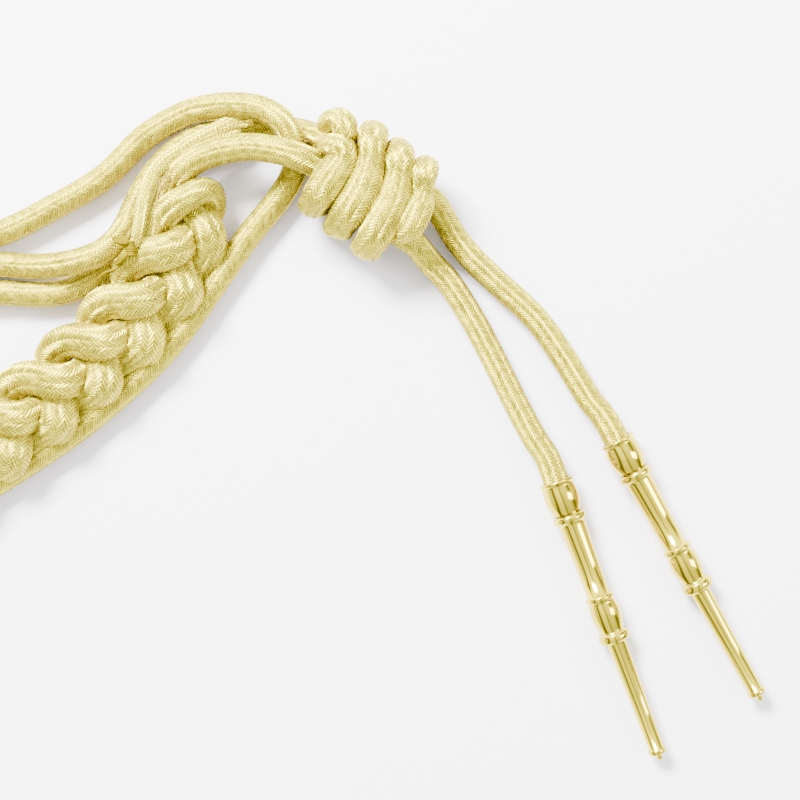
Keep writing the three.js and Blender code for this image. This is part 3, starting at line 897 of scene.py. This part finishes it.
class AIGUILLETTE_OT_plait(bpy.types.Operator):
    """Three pressed cords plaited over one another, lying on one edge"""

    bl_idname = "aiguillette.plait"
    bl_label = "Plait"

    def execute(self, context):
        plait_cord("plait_strands_1_and_3", plait_rows(2, STRAND_3_WEAVE_FROM),
                   plait_rows(0, STRAND_1_WEAVE_FROM), STRAND_BEND,
                   ("plait_strand_1", "plait_strand_3"))
        plait_cord("lower_lead_and_plait_strand_2", None, plait_rows(1, STRAND_2_WEAVE_FROM),
                   LEAD_LOWER[::-1] + STRAND_2_JOIN, ("lead_cord_lower", "plait_strand_2"))
        return {"FINISHED"}


class AIGUILLETTE_OT_lead_cords(bpy.types.Operator):
    """The upper of the two cords that leave the plait and run through the knot"""

    bl_idname = "aiguillette.lead_cords"
    bl_label = "Lead cords"

    def execute(self, context):
        piece, _ = loose_cord("lead_cord_upper_braid", LEAD_UPPER, (True, False))
        finish_piece(piece, "braided_gold_thread", "lead_cord_upper")
        return {"FINISHED"}


def between(a, b, share):
    return (a[0] + (b[0] - a[0]) * share, a[1] + (b[1] - a[1]) * share)


def knot_rows():
    """x, y, height and width of the pressed cord along the winding."""
    rows = [(*row, KNOT_BACK_WIDTH) for row in KNOT_START]
    for index, turn in enumerate(KNOT_TURNS):
        top, upper, waist, lower, foot, bottom = turn["places"]
        widths, front = turn["widths"], turn["front"]
        rise = front - KNOT_MID
        rows += [
            (*top, KNOT_MID, widths[0]),
            (*between(top, upper, KNOT_RISE[0]), KNOT_MID + KNOT_RISE[1] * rise, widths[0]),
            (*upper, front, widths[1]),
            (*waist, front - turn["dip"], widths[2]),
            (*lower, front, widths[3]),
            (*foot, front - KNOT_FOOT_DROP, widths[4]),
        ]
        if index + 1 < len(KNOT_TURNS):
            following = KNOT_TURNS[index + 1]["places"][0]
            rows += [
                (*between(foot, bottom, KNOT_FALL[0]), KNOT_MID + KNOT_FALL[1] * rise, widths[5]),
                (*bottom, KNOT_MID, widths[5]),
            ]
            for share, height in KNOT_BACK:
                rows.append((*between(bottom, following, share), height, KNOT_BACK_WIDTH))
        else:
            rows.append((*bottom, KNOT_END_HEIGHT, widths[5]))
    return rows


def away_from_axis(line, axis):
    """Directions from the nearest point of a polyline axis to each point of a line."""
    fine = even_line(axis, 0.5)
    nearest = np.linalg.norm(line[:, None, :] - fine[None], axis=2).argmin(axis=1)
    return unit(line - fine[nearest])


class AIGUILLETTE_OT_knot(bpy.types.Operator):
    """One cord wound round the two lead cords"""

    bl_idname = "aiguillette.knot"
    bl_label = "Knot"

    def execute(self, context):
        sizes = context.scene.aiguillette_cords
        half_thin = sizes.knot_thickness / MM / 2
        axis = np.array([(*between(turn["places"][0], turn["places"][5], 0.5), KNOT_MID)
                         for turn in KNOT_TURNS])
        reach = (axis[-1] - axis[0]) * KNOT_AXIS_REACH
        axis = np.vstack([axis[0] - reach, axis, axis[-1] + reach])
        packed = smooth_line(knot_rows())
        arch = smooth_line(KNOT_FIRST_ARCH)
        arch_half_wide = sizes.knot_width / MM / 2 * KNOT_ARCH_WIDTH
        for name, line, half_wide in (("knot_wrap_cord", packed[:, :3], packed[:, 3] / 2),
                                      ("knot_first_arch", arch, arch_half_wide)):
            piece = braided_tube(name, line, half_wide, half_thin, away_from_axis(line, axis),
                                 (True, True))
            finish_piece(piece, "braided_gold_thread", "knot_wrap")
        return {"FINISHED"}


class AIGUILLETTE_OT_legs(bpy.types.Operator):
    """The two free cords from the knot and the turned metal points on them"""

    bl_idname = "aiguillette.legs"
    bl_label = "Legs and points"

    def execute(self, context):
        depth, bore = POINT_BORE
        profile = [(depth, POINT_CENTRE_RADIUS), (depth, bore), (0.0, bore)]
        profile += [(distance, diameter / 2) for distance, diameter in POINT_PROFILE]
        profile.append((POINT_NIB, POINT_CENTRE_RADIUS))
        profile = [(distance * MM, radius * MM) for distance, radius in profile]
        for side, leg in LEGS.items():
            mouth = np.array(leg["mouth"])
            axis = unit(np.array(leg["tip"]) - mouth)
            ferrule = turned("ferrule_" + side + "_metal", profile, mouth * MM + BENCH,
                             (mouth + axis * POINT_NIB) * MM + BENCH)
            finish_piece(ferrule, "polished_gilt", "ferrule_" + side)
            rows = leg["rows"] + [tuple(mouth + axis * distance) for distance in LEG_END]
            piece, line = loose_cord("leg_" + side + "_cord", rows, (True, False))
            finish_piece(piece, "braided_gold_thread", "leg_" + side)
        return {"FINISHED"}


def snug_rows(rows):
    """The outer loop cord's rows, some of them moved sideways towards the plait."""
    axis = smooth_line([(x, y, 0.0) for x, y in PLAIT_AXIS])[:, :2]
    rows = np.array(rows, dtype=float)
    for row in rows[slice(*LOOP_OUTER_SNUG_ROWS)]:
        gap = axis[np.linalg.norm(axis - row[:2], axis=1).argmin()] - row[:2]
        row[:2] += unit(gap) * LOOP_OUTER_SNUG
    return rows


class AIGUILLETTE_OT_loop_cords(bpy.types.Operator):
    """The loose cords that run from the shoulder along the plait"""

    bl_idname = "aiguillette.loop_cords"
    bl_label = "Loop cords"

    def execute(self, context):
        for name, rows in (("loop_cord_outer", snug_rows(LOOP_OUTER)),
                           ("loop_cord_middle", LOOP_MIDDLE), ("loop_cord_inner", LOOP_INNER)):
            piece, line = loose_cord(name + "_braid", rows)
            finish_piece(piece, "braided_gold_thread", name)
        return {"FINISHED"}


def tie_lines():
    """The yellow thread: close turns round the neck of the tape, flat bows and one end."""
    centre = np.array(TIE_CENTRE)
    along = unit(np.array(TIE_ALONG))
    side = unit(np.cross(along, UP))
    up = np.cross(side, along)
    turns = []
    for step in np.arange(0, TIE_TURNS + 0.01, 1 / 16):
        angle = 2 * math.pi * step
        wobble = TIE_WOBBLE * math.sin(5 * angle / TIE_TURNS)
        shift = (step - TIE_TURNS / 2) * TIE_PITCH
        turns.append(centre + along * shift + side * (TIE_HALF_WIDTH + wobble) * math.cos(angle)
                     + up * (TIE_HALF_HEIGHT + wobble) * math.sin(angle))
    lines = [smooth_line(turns, THREAD_STEP)]
    for top, tip, half_width in TIE_BOWS:
        top, tip = np.array(top), np.array(tip)
        across = unit(np.cross(tip - top, up))
        middle = (top + tip) / 2
        for k in (-1.0, 0.0, 1.0):
            lift = up * TIE_BOW_LIFT * (1 - abs(k))
            spread = across * (half_width + TIE_BOW_STRAND * k)
            lines.append(smooth_line(
                [top, middle + spread + lift, tip + spread * 0.6 + lift,
                 tip + unit(tip - top) * (0.5 + 0.2 * k) + lift,
                 tip - spread * 0.6 + lift, middle - spread + lift, top], THREAD_STEP))
    lines.append(smooth_line(TIE_END, 0.4))
    return lines


class AIGUILLETTE_OT_tape_and_tie(bpy.types.Operator):
    """The emptied, flattened sheath, the short tail under it and the yellow tie thread"""

    bl_idname = "aiguillette.tape_and_tie"
    bl_label = "Tape and tie"

    def execute(self, context):
        packed = smooth_line(SHEATH_TAPE)
        line = packed[:, :3]
        tangent = unit(np.gradient(line, axis=0))
        sideways = unit(np.stack([tangent[:, 1], -tangent[:, 0], 0 * tangent[:, 0]], axis=1))
        tape = braided_tube("sheath_tape_braid", line, packed[:, 3] / 2, TAPE_HALF_THICKNESS,
                            np.cross(sideways, tangent), stitch=stitching(**TAPE_STITCH))
        finish_piece(tape, "emptied_sheath", "sheath_tape")
        line = smooth_line(CORD_TAIL)
        narrowing = np.linspace(*TAIL_HALF_WIDTHS, len(line))
        tail = braided_tube("cord_tail_braid", line, narrowing, narrowing * TAIL_FLATNESS,
                            rounded=(True, True), stitch=stitching(**TAIL_STITCH))
        finish_piece(tail, "braided_gold_thread", "cord_tail")

        frays = [line for end in FRAYED_ENDS for line in frayed_end(*end)]
        frays = threads("frayed_thread_ends", frays, FRAY_RADIUS)
        finish_piece(frays, "gold_thread_ends", "sheath_tape")
        curls = threads("loose_gold_threads", [smooth_line(rows, 0.4) for rows in GOLD_CURLS],
                        CURL_RADIUS)
        finish_piece(curls, "loose_gold_thread", "cord_tail")
        tie = threads("tie_thread_turns", tie_lines(), TIE_THREAD_RADIUS, 8)
        finish_piece(tie, "yellow_sewing_thread", "tie_thread")
        return {"FINISHED"}


def rounded_outline(half_x, half_y, corner):
    """Points round a rectangle with rounded corners, starting on the right."""
    turn = full_turn(OUTLINE_POINTS)
    x, y = np.cos(turn), np.sin(turn)
    inner_x, inner_y = half_x - corner, half_y - corner
    reach = np.minimum(1 / np.maximum(np.abs(x) / half_x, 1e-9),
                       1 / np.maximum(np.abs(y) / half_y, 1e-9))
    px, py = x * reach, y * reach
    cx, cy = np.clip(px, -inner_x, inner_x), np.clip(py, -inner_y, inner_y)
    out = np.hypot(px - cx, py - cy)
    scale = np.where(out > 1e-9, corner / np.maximum(out, 1e-9), 1.0)
    return np.stack([cx + (px - cx) * scale, cy + (py - cy) * scale], axis=1)


def slot_outline(count):
    """The rounded slot of the buttonhole, matched point by point with the tab's outline."""
    turn = full_turn(count)
    radius = SLOT_WIDTH / 2
    straight = SLOT_LENGTH / 2 - radius
    x = radius * np.cos(turn)
    y = radius * np.sin(turn) + straight * np.clip(np.sin(turn) * 3, -1, 1)
    return np.stack([x, y], axis=1) * MM


def level_ring(outline, middle, z):
    return np.column_stack([outline + middle[:2], np.full(len(outline), z)])


def cushion(name, low, high, edge):
    """A soft block of cloth that fills a box, its edges rounded and its top a little domed."""
    middle = (low + high) / 2
    half = (high - low) / 2
    dome = BINDING_DOME * (high[2] - low[2])
    round_steps = np.linspace(0, math.pi / 2, 6)
    levels = []
    for bottom, way, angles in ((low[2], 1, round_steps), (high[2] - dome, -1, round_steps[::-1])):
        for angle in angles:
            levels.append((edge * (1 - math.sin(angle)),
                           bottom + way * edge * (1 - math.cos(angle))))
    for share in BINDING_DOME_RINGS:
        levels.append((edge + (half[1] - edge) * share,
                       high[2] - dome + dome * math.sin(share * math.pi / 2)))
    rings = []
    for inset, z in levels:
        corner = max(min(BINDING_CORNER * MM, half[1] - inset) * 0.98, 1e-5)
        outline = rounded_outline(half[0] - inset, half[1] - inset, corner)
        rings.append(level_ring(outline, middle, z))
    return ring_mesh(name, rings)


def tab_ring(name, low, high):
    """The flat tab with its slot, filling a box."""
    middle = (low + high) / 2
    half = (high - low) / 2
    outer = rounded_outline(half[0], half[1], TAB_CORNER * MM)
    inner = slot_outline(OUTLINE_POINTS)
    rings = [level_ring(inner + (outer - inner) * out, middle, low[2] + (high[2] - low[2]) * up)
             for out, up in TAB_SECTION]
    return ring_mesh(name, rings, closed_section=True)


def dashes(a, b, dash, gap, height):
    """Raised running stitches from a to b, in millimetres on the bench."""
    a, b = np.array(a, dtype=float), np.array(b, dtype=float)
    length = np.linalg.norm(b - a)
    way = (b - a) / length
    lift = np.array([0.0, 0.0, height])
    lines = []
    for start in np.arange(0.0, length - dash, dash + gap):
        p, q = a + way * start, a + way * (start + dash)
        lines.append(smooth_line([p - lift * 0.6, p + lift * 0.4, (p + q) / 2 + lift,
                                  q + lift * 0.4, q - lift * 0.6], THREAD_STEP))
    return lines


def bench_box(node):
    low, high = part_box(node)
    return (np.array(low) - BENCH) / MM, (np.array(high) - BENCH) / MM


def seam_lines():
    """Two rows of stitches along each long edge of the binding and one round the tab."""
    low, high = bench_box("shoulder_binding")
    z = high[2] - SEAM_SINK
    lines = []
    for inset in SEAM_INSETS:
        for y in (low[1] + inset, high[1] - inset):
            lines += dashes((low[0] + 3, y, z), (high[0] - 3, y, z), *SEAM_STITCH)
    low, high = bench_box("shoulder_tab")
    z = high[2]
    for x in (low[0] + TAB_SEAM_INSET, high[0] - TAB_SEAM_INSET):
        lines += dashes((x, low[1] + 1.5, z), (x, high[1] - 4, z), *TAB_STITCH)
    y = high[1] - TAB_SEAM_INSET
    return lines + dashes((low[0] + 4, y, z), (high[0] - 4, y, z), *TAB_STITCH)


def buttonhole_lines():
    """Short stitches from the slot's edge outwards, close together."""
    low, high = bench_box("shoulder_tab")
    middle = (low + high) / 2
    lines = []
    for x, y in slot_outline(BUTTONHOLE_STITCHES) / MM:
        near = np.array([x, y]) + middle[:2]
        far = near + unit(np.array([x, y * 0.35])) * BUTTONHOLE_STITCH_REACH
        lines.append(smooth_line([(*near, middle[2]), (*near, high[2] + 0.1),
                                  (*((near + far) / 2), high[2] + 0.3), (*far, high[2])],
                                 THREAD_STEP))
    return lines


class AIGUILLETTE_OT_shoulder_end(bpy.types.Operator):
    """The cloth binding and the buttonhole tab at the shoulder"""

    bl_idname = "aiguillette.shoulder_end"
    bl_label = "Shoulder end"

    def execute(self, context):
        low, high = (np.array(corner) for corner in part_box("shoulder_binding"))
        binding = cushion("binding_cloth", low, high, BINDING_ROUND * MM)
        finish_piece(binding, "woven_gold_cloth", "shoulder_binding")
        low, high = (np.array(corner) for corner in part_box("shoulder_tab"))
        tab = tab_ring("tab_cloth", low, high)
        finish_piece(tab, "woven_gold_cloth", "shoulder_tab")
        seams = threads("shoulder_seams", seam_lines(), SEAM_THREAD_RADIUS)
        finish_piece(seams, "gold_thread_ends", "shoulder_binding")
        hole = threads("buttonhole_stitches", buttonhole_lines(), SEAM_THREAD_RADIUS)
        finish_piece(hole, "gold_thread_ends", "shoulder_tab")
        return {"FINISHED"}


def area_light(name, place, size, power):
    """A rectangular light at a place over the bench, aimed at the bench's middle."""
    data = bpy.data.lights.new(name, "AREA")
    data.shape = "RECTANGLE"
    data.size, data.size_y = size
    data.energy = power
    light = add_object(name, data)
    light.location = (BENCH[0] + place[0], BENCH[1] + place[1], place[2])
    aim = Vector((BENCH[0], BENCH[1], 0)) - Vector(light.location)
    light.rotation_euler = aim.to_track_quat("-Z", "Y").to_euler()


def striped_room(strength):
    """A world with long light and dark strips, dimmer towards one side."""
    world = bpy.data.worlds.new("studio")
    world.use_nodes = True
    tree = world.node_tree
    place = add_node(tree, "TexCoord").outputs["Generated"]
    levels = []
    for side, low, high in ((SKY_ACROSS, 0.0, 1.0), (SKY_DIM_SIDE, *SKY_DIM_RANGE)):
        part = add_node(tree, "VectorMath", {0: place, 1: side}, operation="DOT_PRODUCT")
        level = add_node(tree, "MapRange", {"Value": part.outputs["Value"], "From Min": -1.0,
                                            "To Min": low, "To Max": high})
        levels.append(level.outputs["Result"])
    across, dim = levels
    ramp = add_node(tree, "ValToRGB", {"Fac": across})
    elements = ramp.color_ramp.elements
    elements[0].position = SKY[0][0]
    elements[1].position = SKY[-1][0]
    for position, _ in SKY[1:-1]:
        elements.new(position)
    for element, (_, value) in zip(elements, SKY):
        element.color = (value, value, value, 1)
    background = next(n for n in tree.nodes if n.type == "BACKGROUND")
    fill_socket(tree, background.inputs["Color"], ramp.outputs["Color"])
    fill_socket(tree, background.inputs["Strength"], add_math(tree, "MULTIPLY", dim, strength))
    return world


class AIGUILLETTE_OT_stage(bpy.types.Operator):
    """Pale floor, soft light and the camera straight above the table"""

    bl_idname = "aiguillette.stage"
    bl_label = "Stage"

    def execute(self, context):
        stage = context.scene.aiguillette_stage
        camera_data = bpy.data.cameras.new("camera")
        camera_data.sensor_fit = "HORIZONTAL"
        camera_data.angle = 2 * math.atan(stage.half_width / stage.camera_height)
        camera_data.clip_start = 0.01
        camera = add_object("camera", camera_data)
        camera.location = (BENCH[0], BENCH[1], BENCH[2] + stage.camera_height)
        context.scene.camera = camera

        corners = ((-1, -1), (1, -1), (1, 1), (-1, 1))
        floor = mesh_piece("floor", [(x * FLOOR_HALF, y * FLOOR_HALF, 0.0) for x, y in corners],
                           np.arange(4), [0], smooth=False)
        floor.location.z = -FLOOR_DROP
        floor.data.materials.append(new_material("pale_floor", lambda tree: {
            "Base Color": (*FLOOR_COLOUR, 1), "Roughness": 0.8}))

        context.scene.world = striped_room(stage.sky_strength)
        area_light("key", KEY_PLACE, KEY_SIZE, stage.key_power)
        area_light("side", SIDE_PLACE, SIDE_SIZE, stage.key_power * SIDE_SHARE)
        return {"FINISHED"}


class AIGUILLETTE_PT_panel(bpy.types.Panel):
    """Lists the pieces of the aiguillette"""

    bl_idname = "AIGUILLETTE_PT_panel"
    bl_label = "Aiguillette"
    bl_space_type = "VIEW_3D"
    bl_region_type = "UI"
    bl_category = "Aiguillette"

    def draw(self, context):
        for operator in OPERATORS:
            self.layout.operator(operator.bl_idname)
        for group in ("aiguillette_cords", "aiguillette_finish", "aiguillette_stage"):
            settings = getattr(context.scene, group)
            for name in settings.__annotations__:
                self.layout.prop(settings, name)


OPERATORS = (
    AIGUILLETTE_OT_stage,
    AIGUILLETTE_OT_loop_cords,
    AIGUILLETTE_OT_legs,
    AIGUILLETTE_OT_plait,
    AIGUILLETTE_OT_lead_cords,
    AIGUILLETTE_OT_knot,
    AIGUILLETTE_OT_tape_and_tie,
    AIGUILLETTE_OT_shoulder_end,
)
SETTINGS = (AiguilletteCords, AiguilletteFinish, AiguilletteStage)


def register():
    for cls in (*SETTINGS, *OPERATORS, AIGUILLETTE_PT_panel):
        bpy.utils.register_class(cls)
    bpy.types.Scene.aiguillette_cords = PointerProperty(type=AiguilletteCords)
    bpy.types.Scene.aiguillette_finish = PointerProperty(type=AiguilletteFinish)
    bpy.types.Scene.aiguillette_stage = PointerProperty(type=AiguilletteStage)


def unregister():
    del bpy.types.Scene.aiguillette_stage
    del bpy.types.Scene.aiguillette_finish
    del bpy.types.Scene.aiguillette_cords
    for cls in reversed((*SETTINGS, *OPERATORS, AIGUILLETTE_PT_panel)):
        bpy.utils.unregister_class(cls)


def main():
    register()
    bpy.ops.aiguillette.stage()
    bpy.ops.aiguillette.loop_cords()
    bpy.ops.aiguillette.legs()
    bpy.ops.aiguillette.plait()
    bpy.ops.aiguillette.lead_cords()
    bpy.ops.aiguillette.knot()
    bpy.ops.aiguillette.tape_and_tie()
    bpy.ops.aiguillette.shoulder_end()


if __name__ == "__main__":
    main()
